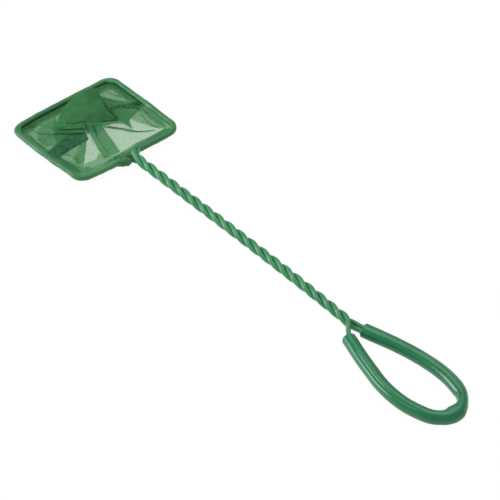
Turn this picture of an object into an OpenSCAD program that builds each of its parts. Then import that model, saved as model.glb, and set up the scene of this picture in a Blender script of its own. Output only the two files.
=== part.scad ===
// Small aquarium fish net, lying flat with its mouth up.
// One length of plastic coated steel wire makes the frame, the three strand twisted handle and the hanging loop.
// A cloth hem sewn round the frame carries a soft mesh bag, which lies folded inside the frame.
// X runs along the handle, Z is up, and the origin is under the middle of the whole net. Sizes are in millimetres.

/* [Frame] */
// Width of the frame between wire centres
frame_width = 72; // [56:1:100]
// Depth of the frame between wire centres, along the handle
frame_depth = 61.4; // [46:0.2:90]
// Radius of the four frame corners at the wire's centre
corner_r = 8; // [7:0.5:14]
// Height of the wire's centre above the surface that the net lies on
wire_height = 4; // [4:0.1:6]

/* [Wire] */
// Outside diameter of the plastic coating
wire_d = 2.7; // [2.3:0.1:2.8]
// Diameter of the steel core
core_d = 1.9; // [1.2:0.1:2]

/* [Twisted handle] */
// Length of the twist, from the frame to where the strands part into the loop
twist_len = 186; // [120:1:260]
// Whole turns in the twist, to which the ends add a little less than half a turn
whole_turns = 6; // [3:1:9]
// How far the handle starts to the side of the frame's middle
handle_side = 0.6; // [-2:0.1:2]
// How far the far end of the handle bows to the other side
handle_bow = 2.3; // [0:0.1:6]

/* [Grip loop] */
// Outside diameter of the soft sleeve over the loop
sleeve_d = 8; // [7.6:0.1:8]
// Bore of the sleeve
sleeve_bore = 6; // [5.9:0.05:6.6]
// Distance between the two ends of the sleeve, from centre to centre
mouth_gap = 10.33; // [9.6:0.05:14]
// Straight stretch of the loop's lower arm
lower_run = 35.6; // [28:0.2:44]
// Radius of the lower arm's belly
lower_belly_r = 66.6; // [55:0.2:80]
// Radius of the upper arm's belly
upper_belly_r = 112; // [95:1:130]

/* [Hem] */
// Outside diameter of the hem's casing round the wire
hem_d = 4; // [3.7:0.1:4.6]
// Width of the sewn flange inside the casing
flange_width = 3.5; // [2.5:0.1:4.5]
// Thickness of the sewn flange
flange_thick = 0.8; // [0.5:0.1:1.2]
// Diameter of the sewing thread
thread_d = 0.4; // [0.3:0.05:0.6]
// Diameter of the cloth rolled up behind the joint
bridge_d = 2.4; // [1.6:0.1:3]

/* [Bag] */
// Thickness of the bag's folded mesh on the surface below
bag_floor = 0.8; // [0.5:0.1:1.2]
// Thickness of the bag's folded mesh where it rises to the hem
bag_wall = 1; // [0.6:0.1:1.6]
// Thickness of the bag's folded over bottom
fold_thick = 1.2; // [0.8:0.1:1.4]
// Width of the bag's sewn seams
seam_width = 2.5; // [1.5:0.1:3.5]
// Thickness of the bag's sewn seams
seam_thick = 0.8; // [0.5:0.1:1]

/* [Hidden] */
$fn = 48;

// Clearances: between strands, between the steel and its coat, between loose cloth and what it rests on
strand_gap = 0.1;
core_gap = 0.02;
cloth_gap = 0.1;
hem_gap = 0.15;

// Twist: the right strand's angle at the frame and where the strands part, counted from +Y towards +Z
joint_angle = 300;
parting_angle = 101;
strand_circle_r = (wire_d + strand_gap) / sqrt(3);
twist_angle = 360 * whole_turns + 360 + parting_angle - joint_angle;
twist_lay = twist_len * 360 / twist_angle;
strand_sides = 8;
rings_a_turn = 10;
// The bow is gentle near the frame and grows with this power of the way along the handle
bow_power = 4;
lead_rings = 9;

// Where the frame wire leaves its straight near side on each side of the handle
right_end_y = 7.5;
left_end_y = 10;
// Where each strand joins the twist, and where it leaves it, as shares of one turn
right_join_share = 0.173;
left_join_share = 0.243;
tail_join_share = 0.173;
tail_end_share = -0.04;
// The left strand swings a little wider into the twist
left_pull = 1.3;
right_part_share = 0.052;
upper_part_share = 0.017;

// Loop: the angle of each arm to the handle, and how far each belly turns
lower_angle = 16;
upper_angle = 15.8;
lower_turn = 31.5;
upper_turn = 27.7;
tip_turn = 180 + lower_angle + upper_angle - lower_turn - upper_turn;
// How far the sleeve's ends lie past the parting, and how far the loop sits to the side of the handle's line
mouth_run = 9;
loop_drop = 3.86;
pair_offset = wire_d / 2 + strand_gap;
mouth_x = twist_len + mouth_run;
mouth_y = handle_side - handle_bow - loop_drop;
lower_mouth = [mouth_x, mouth_y - mouth_gap / 2];
upper_mouth = [mouth_x, mouth_y + mouth_gap / 2];
// The right strand reaches its place in the pair this far inside the sleeve, and the wire's tail ends beside it
settle_run = 12;
tail_inset = 14;
// The right strand enters the sleeve high and to the inner side of the bore
entry_share = 0.33;
entry_angle = 30;
entry_fall = 0.12;
// Rings along each belly and round the tip, and sides of the sleeve
belly_steps = 5;
tip_steps = 14;
sleeve_sides = 16;

function heading(a) = [cos(a), sin(a)];
function crossed(a, b) = a[0] * b[1] - a[1] * b[0];
lower_belly_start = lower_mouth + lower_run * heading(-lower_angle);
lower_belly_centre = lower_belly_start + lower_belly_r * heading(90 - lower_angle);
lower_end_angle = lower_turn - lower_angle;
upper_end_angle = upper_angle - upper_turn;
lower_belly_end = lower_belly_centre - lower_belly_r * heading(90 + lower_end_angle);
upper_belly_span = upper_belly_r * (heading(90 + upper_end_angle) - heading(90 + upper_angle));
// The upper arm's straight stretch is as long as lets one arc at the tip touch both bellies
closing_way = heading(upper_end_angle) - heading(lower_end_angle);
upper_run = crossed(lower_belly_end - upper_mouth - upper_belly_span, closing_way)
    / crossed(heading(upper_angle), closing_way);
upper_belly_end = upper_mouth + upper_run * heading(upper_angle) + upper_belly_span;
tip_r = norm(upper_belly_end - lower_belly_end) / 2 / sin(tip_turn / 2);
tip_centre = lower_belly_end + tip_r * heading(90 + lower_end_angle);
upper_belly_centre = upper_belly_end - upper_belly_r * heading(90 + upper_end_angle);

// Frame and whole net
half_depth = frame_depth / 2;
half_width = frame_width / 2;
hem_r = hem_d / 2;
hem_inset = hem_r + flange_width;
hem_bore = wire_d + 2 * hem_gap;
net_low_x = -frame_depth - hem_r;
net_high_x = tip_centre[0] + tip_r + sleeve_d / 2;
centre_x = (net_low_x + net_high_x) / 2;

// Bag: a shallow tray of cloth inside the hem, under its flange
bag_inset = hem_r + bag_wall;
bag_height = wire_height - flange_thick - cloth_gap;
seam_floor_run = 12;
thread_inset = hem_inset - bag_wall;
// Corners of the folded bottom, as shares of the frame's inner half depth and half width from its middle
fold_corner_shares = [[-0.92, -0.1], [-0.92, 0.72], [0.02, 0.52], [-0.58, -0.5]];
fold_reach = [half_depth - bag_inset - bag_wall, half_width - bag_inset - bag_wall];
function fold_corner(i) = [
    -half_depth + fold_corner_shares[i][0] * fold_reach[0],
    fold_corner_shares[i][1] * fold_reach[1]
];

// Bunched hem beside the joint: how many places of the left strand's bend it covers, and how far its folds rise
gather_rings = 6;
gather_rise = 0.5;

// Strand routes
function twist_angle_at(x, turn) = joint_angle + turn + 360 * x / twist_lay;
function twist_point(x, turn) = [
    x,
    handle_side - handle_bow * pow(x / twist_len, bow_power) + strand_circle_r * cos(twist_angle_at(x, turn)),
    strand_circle_r * sin(twist_angle_at(x, turn))
];
function twist_slope(x, turn) = [
    1,
    -bow_power * handle_bow / twist_len * pow(x / twist_len, bow_power - 1)
        - strand_circle_r * sin(twist_angle_at(x, turn)) * 2 * PI / twist_lay,
    strand_circle_r * cos(twist_angle_at(x, turn)) * 2 * PI / twist_lay
];
function unit(v) = v / norm(v);
// A smooth bend from point a along direction u to point b along direction v
function bend_point(a, u, b, v, t, pull) =
    (2 * pow(t, 3) - 3 * t * t + 1) * a
    + (pow(t, 3) - 2 * t * t + t) * norm(b - a) * unit(u)
    + (3 * t * t - 2 * pow(t, 3)) * b
    + (pow(t, 3) - t * t) * norm(b - a) * pull * unit(v);
function bend(a, u, b, v, pull = 1) =
    [for (i = [0:lead_rings - 1]) bend_point(a, u, b, v, i / lead_rings, pull)];
function twist(from, to, turn) =
    let (rings = ceil((to - from) / twist_lay * rings_a_turn))
    [for (i = [0:rings - 1]) twist_point(from + (to - from) * i / rings, turn)];
function level(p, z) = [p[0], p[1], z];
function beside(p, angle, offset) = p + offset * heading(angle + 90);

right_join = right_join_share * twist_lay;
left_join = left_join_share * twist_lay;
tail_join = tail_join_share * twist_lay;
right_part = twist_len - right_part_share * twist_lay;
upper_part = twist_len - upper_part_share * twist_lay;
entry_offset = entry_share * (sleeve_bore - wire_d);
entry_point = level(beside(lower_mouth, -lower_angle, entry_offset), entry_offset);
entry_heading = level(heading(-entry_angle), -entry_fall);
settle_point = level(beside(lower_mouth + settle_run * heading(-lower_angle), -lower_angle, pair_offset), 0);
outer_mouth = level(beside(upper_mouth, upper_angle, pair_offset), 0);
inner_mouth = level(beside(upper_mouth, upper_angle, -pair_offset), 0);

right_route = concat(
    bend([0, right_end_y, 0], [0, -1, 0], twist_point(right_join, 0), twist_slope(right_join, 0)),
    twist(right_join, right_part, 0),
    bend(twist_point(right_part, 0), twist_slope(right_part, 0), entry_point, entry_heading),
    bend(entry_point, entry_heading, settle_point, level(heading(-lower_angle), 0)),
    [settle_point]
);
left_lead = bend(
    [0, -left_end_y, 0], [0, 1, 0], twist_point(left_join, -120), twist_slope(left_join, -120), left_pull
);
left_route = concat(
    left_lead,
    twist(left_join, upper_part, -120),
    bend(twist_point(upper_part, -120), twist_slope(upper_part, -120), outer_mouth, level(heading(upper_angle), 0)),
    [outer_mouth]
);
tail_reach = tail_join + tail_end_share * twist_lay;
tail_route = concat(
    [twist_point(tail_join, 120) - tail_reach * twist_slope(tail_join, 120)],
    twist(tail_join, upper_part, 120),
    bend(twist_point(upper_part, 120), twist_slope(upper_part, 120), inner_mouth, level(heading(upper_angle), 0)),
    [inner_mouth]
);

// Route of the loop from its lower mouth round to its upper mouth, at an offset to the inside, less a start length
function arc(centre, r, from, turn, steps) =
    [for (i = [1:steps]) level(centre + r * heading(from + turn * i / steps), 0)];
function loop_route(offset, start) = concat(
    [level(beside(lower_mouth + start * heading(-lower_angle), -lower_angle, offset), 0)],
    [level(beside(lower_belly_start, -lower_angle, offset), 0)],
    arc(lower_belly_centre, lower_belly_r - offset, -90 - lower_angle, lower_turn, belly_steps),
    arc(tip_centre, tip_r - offset, lower_end_angle - 90, tip_turn, tip_steps),
    arc(upper_belly_centre, upper_belly_r - offset, upper_end_angle + 90, upper_turn, belly_steps),
    [level(beside(upper_mouth, upper_angle, -offset), 0)]
);
loop_first = level(heading(-lower_angle), 0);
loop_last = level(-heading(upper_angle), 0);

// Ring of points round one place on a route
function route_way(route, i, first, last) =
    i == 0 ? unit(first) : i == len(route) - 1 ? unit(last) : unit(route[i + 1] - route[i - 1]);
function ring(route, i, r, first, last, sides) =
    let (
        way = route_way(route, i, first, last),
        across = unit(cross([0, 0, 1], way)),
        over = cross(way, across)
    )
    [for (k = [0:sides - 1])
        route[i] + r * (cos(360 * k / sides) * across + sin(360 * k / sides) * over)];
function rings_of(route, radii, first, last, sides) =
    [for (i = [0:len(route) - 1]) each ring(route, i, radii[i], first, last, sides)];
// Triangles of a skin from ring to ring, wound to face outwards, or inwards for a bore
function skin(count, start, outwards, sides) =
    [for (i = [0:count - 2], k = [0:sides - 1])
        let (
            a = start + i * sides + k,
            b = start + i * sides + (k + 1) % sides,
            c = b + sides,
            d = a + sides
        )
        each (outwards ? [[c, b, a], [d, c, a]] : [[a, b, c], [a, c, d]])];
function disc_end(start, forwards, sides) =
    [for (k = [1:sides - 2])
        forwards ? [start, start + k + 1, start + k] : [start, start + k, start + k + 1]];
function ring_end(outer, inner, forwards, sides) =
    [for (k = [0:sides - 1])
        let (a = outer + k, b = outer + (k + 1) % sides, c = inner + (k + 1) % sides, d = inner + k)
        each (forwards ? [[c, b, a], [d, c, a]] : [[a, b, c], [a, c, d]])];
function same(value, count) = [for (i = [0:count - 1]) value];

// Solid round bar along a route
module bar(route, r, first, last, sides = strand_sides) {
    count = len(route);
    polyhedron(
        points = rings_of(route, same(r, count), first, last, sides),
        faces = concat(
            skin(count, 0, true, sides),
            disc_end(0, false, sides),
            disc_end((count - 1) * sides, true, sides)
        )
    );
}

// Tube along a route, with its own outer radius at each place
module pipe(route, outer_radii, inner_r, first, last, sides = strand_sides) {
    count = len(route);
    half = count * sides;
    final = (count - 1) * sides;
    polyhedron(
        points = concat(
            rings_of(route, outer_radii, first, last, sides),
            rings_of(route, same(inner_r, count), first, last, sides)
        ),
        faces = concat(
            skin(count, 0, true, sides),
            skin(count, half, false, sides),
            ring_end(0, half, false, sides),
            ring_end(final, half + final, true, sides)
        )
    );
}

// Carries a flat section along straights, [length, 0], and arcs, [radius, angle], one after another
module carry(steps, i = 0) {
    if (i < len(steps)) {
        size = steps[i][0];
        angle = steps[i][1];
        side = sign(angle);
        if (angle == 0) {
            rotate([90, 0, 90])
            linear_extrude(size)
            children();
            translate([size, 0, 0])
            carry(steps, i + 1)
            children();
        } else {
            translate([0, side * size, 0])
            rotate([0, 0, side > 0 ? -90 : 90 + angle])
            rotate_extrude(angle = abs(angle))
            translate([size, 0])
            mirror([side > 0 ? 1 : 0, 0, 0])
            children();
            translate([0, side * size, 0])
            rotate([0, 0, angle])
            translate([0, -side * size, 0])
            carry(steps, i + 1)
            children();
        }
    }
}

// Places a piece in the net's own frame
module placed() {
    translate([-centre_x, 0, wire_height])
    children();
}

// The three stretches of the frame, from the middle of one side or the other, at a distance inside the wire's centre
module far_stretch(inset = 0) {
    translate([-half_depth, -half_width + inset, 0])
    rotate([0, 0, 180])
    carry([
        [half_depth - corner_r, 0],
        [corner_r - inset, -90],
        [frame_width - 2 * corner_r, 0],
        [corner_r - inset, -90],
        [half_depth - corner_r, 0]
    ])
    children();
}

module near_left_stretch(inset = 0) {
    translate([-half_depth, -half_width + inset, 0])
    carry([
        [half_depth - corner_r, 0],
        [corner_r - inset, 90],
        [half_width - corner_r - left_end_y, 0]
    ])
    children();
}

module near_right_stretch(inset = 0) {
    translate([-half_depth, half_width - inset, 0])
    carry([
        [half_depth - corner_r, 0],
        [corner_r - inset, -90],
        [half_width - corner_r - right_end_y, 0]
    ])
    children();
}

module whole_frame(inset = 0) {
    far_stretch(inset) children();
    near_left_stretch(inset) children();
    near_right_stretch(inset) children();
}

module core_section() {
    circle(d = core_d);
}

module coat_section() {
    difference() {
        circle(d = wire_d);
        circle(d = core_d + 2 * core_gap);
    }
}

// Hem casing round the wire with its sewn flange on one side: 1 for the left of the way it is carried, -1 for the right
module hem_section(side) {
    difference() {
        union() {
            circle(d = hem_d);
            mirror([side > 0 ? 0 : 1, 0, 0])
            translate([hem_bore / 2, -flange_thick])
            square([hem_inset - hem_bore / 2, flange_thick]);
        }
        circle(d = hem_bore);
    }
}

module strand_core(route, first, last) {
    bar(route, core_d / 2, first, last);
}

module strand_coat(route, first, last) {
    pipe(route, same(wire_d / 2, len(route)), core_d / 2 + core_gap, first, last);
}

// Steel wire bent to the frame
module frame_wire_core() {
    color("silver")
    placed()
    whole_frame()
    core_section();
}

// Green plastic coat on the frame wire
module frame_wire_coat() {
    color("mediumseagreen")
    placed()
    whole_frame()
    coat_section();
}

// Strand from the frame's right end, which crosses over into the loop's lower arm
module right_strand_core() {
    color("silver")
    placed()
    strand_core(right_route, [0, -1, 0], level(heading(-lower_angle), 0));
}

module right_strand_coat() {
    color("mediumseagreen")
    placed()
    strand_coat(right_route, [0, -1, 0], level(heading(-lower_angle), 0));
}

// Strand from the frame's left end, which runs on as the loop's outer wire
module left_strand_core() {
    color("silver")
    placed()
    strand_core(left_route, [0, 1, 0], level(heading(upper_angle), 0));
}

module left_strand_coat() {
    color("mediumseagreen")
    placed()
    strand_coat(left_route, [0, 1, 0], level(heading(upper_angle), 0));
}

// Strand that comes back from the loop and is cut off at the frame
module tail_strand_core() {
    color("silver")
    placed()
    strand_core(tail_route, twist_slope(tail_join, 120), level(heading(upper_angle), 0));
}

module tail_strand_coat() {
    color("mediumseagreen")
    placed()
    strand_coat(tail_route, twist_slope(tail_join, 120), level(heading(upper_angle), 0));
}

// Inner wire of the pair inside the sleeve
module inner_loop_core() {
    color("silver")
    placed()
    strand_core(loop_route(pair_offset, settle_run), loop_first, loop_last);
}

module inner_loop_coat() {
    color("mediumseagreen")
    placed()
    strand_coat(loop_route(pair_offset, settle_run), loop_first, loop_last);
}

// Outer wire of the pair, whose cut end lies inside the sleeve
module outer_loop_core() {
    color("silver")
    placed()
    strand_core(loop_route(-pair_offset, tail_inset), loop_first, loop_last);
}

module outer_loop_coat() {
    color("mediumseagreen")
    placed()
    strand_coat(loop_route(-pair_offset, tail_inset), loop_first, loop_last);
}

// Soft tube pushed over the loop as a grip
module grip_sleeve() {
    route = loop_route(0, 0);
    color("seagreen")
    placed()
    pipe(route, same(sleeve_d / 2, len(route)), sleeve_bore / 2, loop_first, loop_last, sleeve_sides);
}

// Hem of the far panel, from side seam to side seam
module far_hem() {
    color("seagreen")
    placed()
    far_stretch()
    hem_section(-1);
}

// Hem of the near panel, in two stretches that stop short of the handle
module near_left_hem() {
    color("seagreen")
    placed()
    near_left_stretch()
    hem_section(1);
}

module near_right_hem() {
    color("seagreen")
    placed()
    near_right_stretch()
    hem_section(-1);
}

// Rolled cloth that bridges the gap in the hem behind the joint
module hem_bridge() {
    color("darkgreen")
    placed()
    translate([-hem_r - flange_width / 2, -left_end_y + cloth_gap, bridge_d / 2 - flange_thick])
    rotate([-90, 0, 0])
    cylinder(d = bridge_d, h = left_end_y + right_end_y - 2 * cloth_gap);
}

// End of the hem casing, bunched up on the wire's bend beside the joint
module gathered_hem() {
    route = [for (i = [0:gather_rings]) left_lead[i]];
    shifted = [for (i = [0:gather_rings]) route[i] + cloth_gap * [0, 1, 0] * (i == 0 ? 1 : 0)];
    radii = [for (i = [0:gather_rings]) hem_r + (i % 2) * gather_rise];
    color("darkgreen")
    placed()
    pipe(shifted, radii, hem_bore / 2, [0, 1, 0], left_lead[gather_rings + 1] - left_lead[gather_rings]);
}

// Thread of the seam that closes the hem, laid along the flange
module hem_thread() {
    color("darkolivegreen")
    placed()
    translate([0, 0, thread_d / 2 + core_gap])
    whole_frame(thread_inset)
    circle(d = thread_d);
}

module bag_outline(inset) {
    depth = frame_depth - 2 * inset;
    width = frame_width - 2 * inset;
    r = corner_r - inset;
    translate([-half_depth, 0]) {
        square([depth - 2 * r, width], center = true);
        square([depth, width - 2 * r], center = true);
        for (x = [-1, 1], y = [-1, 1])
            translate([x * (depth / 2 - r), y * (width / 2 - r)])
            circle(r);
    }
}

// One panel's half of the bag, as the folded mesh lies inside the frame
module bag_half(side) {
    placed()
    translate([0, 0, -wire_height])
    difference() {
        linear_extrude(bag_height)
        intersection() {
            bag_outline(bag_inset);
            bag_side(side);
        }
        translate([0, 0, bag_floor])
        linear_extrude(bag_height)
        intersection() {
            bag_outline(bag_inset + bag_wall);
            bag_side(side);
        }
    }
}

module bag_side(side) {
    translate([-half_depth + side * (cloth_gap / 2 + half_depth / 2), 0])
    square([half_depth, frame_width], center = true);
}

module far_bag_panel() {
    color("darkseagreen")
    bag_half(-1);
}

module near_bag_panel() {
    color("darkseagreen")
    bag_half(1);
}

// Seam where the two panels join at one side of the frame: it comes down inside the bag and runs in along its floor
module side_seam(side) {
    y = half_width - bag_inset - bag_wall - cloth_gap;
    z = bag_floor + cloth_gap;
    placed()
    translate([0, 0, -wire_height])
    mirror([0, side > 0 ? 0 : 1, 0])
    translate([-half_depth - seam_width / 2, y, z]) {
        translate([0, -seam_thick, 0])
        cube([seam_width, seam_thick, bag_height - z]);
        translate([0, -seam_floor_run, 0])
        cube([seam_width, seam_floor_run, seam_thick]);
    }
}

module left_side_seam() {
    color("forestgreen")
    side_seam(-1);
}

module right_side_seam() {
    color("forestgreen")
    side_seam(1);
}

// Closed bottom of the bag, folded back on itself inside the frame
module bag_fold() {
    color("seagreen")
    placed()
    translate([0, 0, bag_floor + cloth_gap - wire_height])
    linear_extrude(fold_thick)
    polygon([for (i = [0:3]) fold_corner(i)]);
}

// Seam along the bottom of the bag, beside the fold's edge
module bag_bottom_seam() {
    from = fold_corner(1);
    to = fold_corner(2);
    color("forestgreen")
    placed()
    translate(level(from, bag_floor + cloth_gap - wire_height))
    rotate([0, 0, atan2(to[1] - from[1], to[0] - from[0])])
    translate([0, cloth_gap, 0])
    cube([norm(to - from), seam_width, seam_thick]);
}

frame_wire_core();
frame_wire_coat();
right_strand_core();
right_strand_coat();
left_strand_core();
left_strand_coat();
tail_strand_core();
tail_strand_coat();
inner_loop_core();
inner_loop_coat();
outer_loop_core();
outer_loop_coat();
grip_sleeve();
far_hem();
near_left_hem();
near_right_hem();
hem_bridge();
gathered_hem();
hem_thread();
far_bag_panel();
near_bag_panel();
left_side_seam();
right_side_seam();
bag_fold();
bag_bottom_seam();
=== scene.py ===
import math

import bmesh
import bpy
import numpy as np
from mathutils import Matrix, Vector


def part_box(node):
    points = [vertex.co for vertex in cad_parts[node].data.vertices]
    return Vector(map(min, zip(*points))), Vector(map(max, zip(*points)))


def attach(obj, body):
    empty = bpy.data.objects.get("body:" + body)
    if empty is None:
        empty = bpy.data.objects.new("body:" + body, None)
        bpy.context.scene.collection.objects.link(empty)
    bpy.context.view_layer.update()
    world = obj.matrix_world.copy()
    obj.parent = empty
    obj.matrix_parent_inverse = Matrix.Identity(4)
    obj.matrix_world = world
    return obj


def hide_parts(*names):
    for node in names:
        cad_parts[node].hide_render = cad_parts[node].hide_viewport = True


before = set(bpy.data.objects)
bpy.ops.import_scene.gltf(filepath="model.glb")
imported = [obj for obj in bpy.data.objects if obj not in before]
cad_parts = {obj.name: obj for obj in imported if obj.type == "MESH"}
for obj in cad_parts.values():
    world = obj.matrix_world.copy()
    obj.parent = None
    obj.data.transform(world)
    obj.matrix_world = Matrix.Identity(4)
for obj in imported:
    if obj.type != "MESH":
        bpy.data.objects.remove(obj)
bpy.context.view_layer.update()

# View: a long lens looks down on the net from the handle's left, about two metres away, so that
# its parallel sides stay nearly parallel. The net lies on a plain white floor.
scene = bpy.context.scene
scene.view_settings.view_transform = "Standard"
layers_seen_through = 48
scene.cycles.transparent_max_bounces = layers_seen_through
azimuth = math.radians(49.044)
elevation = math.radians(40.814)
view_distance = 2.0
lens_mm = 262.4
aim = np.array([-0.0009, -0.0031, 0.004])
towards_camera = np.array([
    math.sin(azimuth) * math.cos(elevation),
    -math.cos(azimuth) * math.cos(elevation),
    math.sin(elevation),
])
camera = bpy.data.objects.new("camera", bpy.data.cameras.new("camera"))
camera.location = aim + view_distance * towards_camera
camera.rotation_euler = (math.pi / 2 - elevation, 0, azimuth)
camera.data.lens = lens_mm
camera.data.clip_end = 10 * view_distance
scene.collection.objects.link(camera)
scene.camera = camera

# Floor: seen straight on it is as white as the paper behind the net, and the net's shadow on it
# is faint. Gloss and the mesh see the same white.
floor_seen_share, floor_white, floor_glow, floor_half = 0.90, 0.90, 1.06, 6.0


def new_material(name):
    """An empty node material and its node tree."""
    material = bpy.data.materials.new(name)
    material.use_nodes = True
    material.node_tree.nodes.clear()
    return material, material.node_tree


def feed(tree, node, values):
    """Sets a node's sockets, by name or number, or joins them where the value is a node's output."""
    for socket, value in values.items():
        if isinstance(value, bpy.types.NodeSocket):
            tree.links.new(value, node.inputs[socket])
        else:
            node.inputs[socket].default_value = value


def add_node(tree, kind, values=(), operation=None):
    """A new node fed with the values, after its operation is set where it has one."""
    node = tree.nodes.new(kind)
    if operation:
        node.operation = operation
    feed(tree, node, dict(values))
    return node


floor_material, tree = new_material("white_floor")
matt = add_node(tree, "ShaderNodeBsdfDiffuse", {"Color": (floor_white, floor_white, floor_white, 1)})
glow = add_node(tree, "ShaderNodeEmission", {"Color": (1, 1, 1, 1), "Strength": floor_glow})
rays = add_node(tree, "ShaderNodeLightPath").outputs
seen = add_node(tree, "ShaderNodeMath", {0: rays["Is Camera Ray"], 1: rays["Is Glossy Ray"]}, "MAXIMUM")
also = add_node(tree, "ShaderNodeMath", {0: seen.outputs[0], 1: rays["Is Transmission Ray"]}, "MAXIMUM")
share = add_node(tree, "ShaderNodeMath", {0: also.outputs[0], 1: floor_seen_share}, "MULTIPLY")
mixed = add_node(tree, "ShaderNodeMixShader", {
    "Fac": share.outputs[0], 1: matt.outputs[0], 2: glow.outputs[0]})
add_node(tree, "ShaderNodeOutputMaterial", {"Surface": mixed.outputs[0]})
floor_mesh = bpy.data.meshes.new("floor")
floor_mesh.from_pydata(
    [(-floor_half, -floor_half, 0), (floor_half, -floor_half, 0),
     (floor_half, floor_half, 0), (-floor_half, floor_half, 0)], [], [(0, 1, 2, 3)])
floor_mesh.materials.append(floor_material)
floor = bpy.data.objects.new("floor", floor_mesh)
scene.collection.objects.link(floor)

# Light: a wide soft lamp above and behind, a narrow one low on the camera's left that draws the
# bright streaks along the wires and the sleeve, and an even white room.
world = bpy.data.worlds.new("room")
world.use_nodes = True
room_light = world.node_tree.nodes["Background"]
room_light.inputs["Color"].default_value = (1, 1, 1, 1)
room_light.inputs["Strength"].default_value = 0.44
scene.world = world


def soft_lamp(name, direction, distance, across, along, watts):
    """A rectangular lamp that stands at distance along direction from the aim and faces it."""
    lamp = bpy.data.lights.new(name, "AREA")
    lamp.shape = "RECTANGLE"
    lamp.size = across
    lamp.size_y = along
    lamp.energy = watts
    holder = bpy.data.objects.new(name, lamp)
    way = np.array(direction, float) / np.linalg.norm(direction)
    holder.location = aim + distance * way
    flat = math.hypot(way[0], way[1])
    holder.rotation_euler = (math.atan2(flat, way[2]), 0, math.atan2(way[0], -way[1]))
    scene.collection.objects.link(holder)


soft_lamp("lamp_above", (-0.25, 0.30, 1.0), distance=1.0, across=0.8, along=0.8, watts=3.8)
soft_lamp("lamp_left", (-0.665, -0.645, 0.31), distance=0.9, across=0.38, along=0.5, watts=4.6)

# Wire: one length of steel wire in a green plastic coat makes the frame, the three strands of the
# handle and the two turns of the loop. The frame's own wire stays hidden in the hem.
wire_d = 2.7
bore_d = 1.94
sharp_edge = 45
wire_coat_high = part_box("frame_wire_coat")[1]
near_x = wire_coat_high[0] * 1000 - wire_d / 2
wire_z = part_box("grip_sleeve")[1][2] * 1000 / 2


def placed_mesh(name, points, faces, closed=True):
    """A smooth mesh of points in millimetres from the near side's wire and the handle's line. Where
    it is closed its faces are turned outwards."""
    places = points.reshape(-1, 3) + np.array([near_x, 0, 0])
    mesh = bpy.data.meshes.new(name)
    mesh.from_pydata((places / 1000).tolist(), [], faces)
    if closed:
        shell = bmesh.new()
        shell.from_mesh(mesh)
        bmesh.ops.recalc_face_normals(shell, faces=shell.faces)
        shell.to_mesh(mesh)
        shell.free()
    mesh.shade_smooth()
    return mesh


def add_piece(name, mesh, material):
    """The mesh as a piece of one material, on the net's only body."""
    mesh.materials.append(material)
    piece = bpy.data.objects.new(name, mesh)
    scene.collection.objects.link(piece)
    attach(piece, "root")
    return piece


def unit(v):
    """Each vector over its own length."""
    v = np.asarray(v, float)
    return v / np.linalg.norm(v, axis=-1, keepdims=True)


def carried(route, across_by, over_by):
    """A profile carried along a route: each point is the route's own, plus across_by to the left
    of the way and over_by upwards, where left is up crossed with the way. Both are rings by points."""
    way = unit(np.gradient(route, axis=0))
    across = unit(np.cross([0, 0, 1], way))
    over = np.cross(way, across)
    return route[:, None] + across_by[..., None] * across[:, None] + over_by[..., None] * over[:, None]


def round_angles(count):
    """So many even angles round a circle, in radians from 0."""
    return np.linspace(0, 2 * np.pi, count, endpoint=False)


def tube(name, route, outer, inner, material, sides):
    """A tube along a route, closed at both ends by flat rings. The grid runs along the outside with
    radius outer, which may change by ring and angle, and back along the bore with radius inner.
    Edges over sharp_edge degrees aren't smoothed."""
    angle = round_angles(sides)
    rim = np.broadcast_to(outer, (len(route), sides))
    outside = carried(route, rim * np.cos(angle), rim * np.sin(angle))
    bore = np.full((len(route), sides), inner)
    inside = carried(route, bore * np.cos(angle), bore * np.sin(angle))
    here = np.arange(2 * len(route) * sides).reshape(-1, sides)
    there = np.roll(here, -1, 0)
    quads = np.stack([here, np.roll(here, -1, 1), np.roll(there, -1, 1), there], -1)
    mesh = placed_mesh(name, np.concatenate([outside, inside[::-1]]), quads.reshape(-1, 4).tolist())
    mesh.set_sharp_from_angle(angle=math.radians(sharp_edge))
    return add_piece(name, mesh, material)


def mottle(tree, marks, low, high, detail=3.0):
    """Noise on Object coordinates, so many marks a metre, stretched from low to high."""
    place = add_node(tree, "ShaderNodeTexCoord").outputs["Object"]
    noise = add_node(tree, "ShaderNodeTexNoise", {"Vector": place, "Scale": marks, "Detail": detail})
    stretch = add_node(tree, "ShaderNodeMapRange", {
        "Value": noise.outputs["Fac"], "From Min": 0.3, "From Max": 0.7, "To Min": low, "To Max": high})
    return stretch.outputs["Result"]


def two_tone(tree, dark, light, marks):
    """Colour that drifts between dark and light, in spots of so many a metre."""
    blend = tree.nodes.new("ShaderNodeMix")
    blend.data_type = "RGBA"
    feed(tree, blend, {"Factor": mottle(tree, marks, 0.0, 1.0), "A": (*dark, 1), "B": (*light, 1)})
    return blend.outputs["Result"]


def plastic(name, dark, light, roughness, grain, depth):
    """Moulded plastic: colour that drifts between dark and light, roughness that varies a little,
    and a fine grain as bump. grain is its size in marks a metre, depth its height in metres."""
    material, tree = new_material(name)
    place = add_node(tree, "ShaderNodeTexCoord").outputs["Object"]
    fine = add_node(tree, "ShaderNodeTexNoise", {"Vector": place, "Scale": grain, "Detail": 2.0})
    bump = add_node(tree, "ShaderNodeBump", {
        "Strength": 0.6, "Distance": depth, "Height": fine.outputs["Fac"]})
    shader = add_node(tree, "ShaderNodeBsdfPrincipled", {
        "Base Color": two_tone(tree, dark, light, 90.0),
        "Roughness": mottle(tree, 160.0, roughness - 0.03, roughness + 0.05, 1.0),
        "Normal": bump.outputs["Normal"]})
    add_node(tree, "ShaderNodeOutputMaterial", {"Surface": shader.outputs[0]})
    return material


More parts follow.
